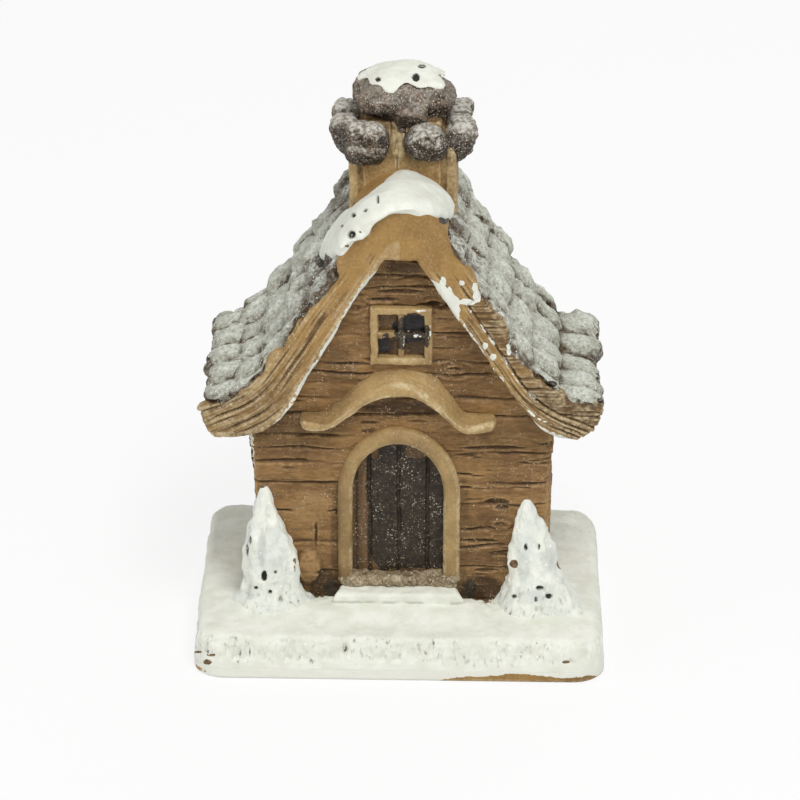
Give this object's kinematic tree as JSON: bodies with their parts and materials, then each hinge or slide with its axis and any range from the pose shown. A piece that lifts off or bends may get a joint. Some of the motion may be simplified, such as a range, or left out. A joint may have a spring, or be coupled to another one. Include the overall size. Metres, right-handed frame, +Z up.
{
  "type": "miniature winter cottage ornament",
  "caption": "Small cast village cottage with a snowy base, planked walls, bell-cast tiled roof, arched door under a curved hood, stone-capped chimney and two firs.",
  "frame": {"origin": "centre of the base's footprint, on the surface that it stands on", "axes": "+Z up, -Y towards the door, +X to the right of someone facing the door"},
  "size_m": [0.045, 0.034, 0.0631],
  "materials": {
    "brown_resin": "cast polyresin carved as planks, ochre brown with a darker wash in the grooves and fine silver glitter",
    "light_resin": "cast polyresin, yellowish tan with pale rubbed edges and fine glitter",
    "dark_door": "cast polyresin planks painted near-black brown, with glitter",
    "window_paint": "recessed panes painted dark brown and blue-black by hand",
    "roof_tiles": "sage grey dry-brushed over dark brown, dense glitter",
    "dark_stone": "dark brown stone lumps under dense silver glitter",
    "painted_snow": "thick off-white acrylic snow with pinholes and fine glitter"
  },
  "bodies": {
    "root": {"bargeboard_front_left": "brown_resin", "bargeboard_front_right": "brown_resin", "bargeboard_rear_left": "brown_resin", "bargeboard_rear_right": "brown_resin", "base_plinth": "brown_resin", "chimney_cap": "dark_stone", "chimney_snow": "painted_snow", "chimney_stack": "light_resin", "collar_stone_front_left": "dark_stone", "collar_stone_front_right": "dark_stone", "collar_stone_left_front": "dark_stone", "collar_stone_left_rear": "dark_stone", "collar_stone_rear_left": "dark_stone", "collar_stone_rear_right": "dark_stone", "collar_stone_right_front": "dark_stone", "collar_stone_right_rear": "dark_stone", "door_frame": "light_resin", "door_hood": "light_resin", "door_leaf": "dark_door", "door_sill": "light_resin", "door_step": "painted_snow", "fir_tree_left": "painted_snow", "fir_tree_right": "painted_snow", "front_wall": "brown_resin", "gable_snow": "painted_snow", "house_core": "brown_resin", "left_wall": "brown_resin", "rear_wall": "brown_resin", "ridge_cap_front": "brown_resin", "ridge_cap_rear": "brown_resin", "right_wall": "brown_resin", "roof_deck_left": "brown_resin", "roof_deck_right": "brown_resin", "snow_ground": "painted_snow", "tile_course_left_1": "roof_tiles", "tile_course_left_2": "roof_tiles", "tile_course_left_3": "roof_tiles", "tile_course_left_4": "roof_tiles", "tile_course_left_5": "roof_tiles", "tile_course_left_6": "roof_tiles", "tile_course_right_1": "roof_tiles", "tile_course_right_2": "roof_tiles", "tile_course_right_3": "roof_tiles", "tile_course_right_4": "roof_tiles", "tile_course_right_5": "roof_tiles", "tile_course_right_6": "roof_tiles", "window_bars": "light_resin", "window_frame": "light_resin", "window_panes": "window_paint"}
  },
  "joints": []
}
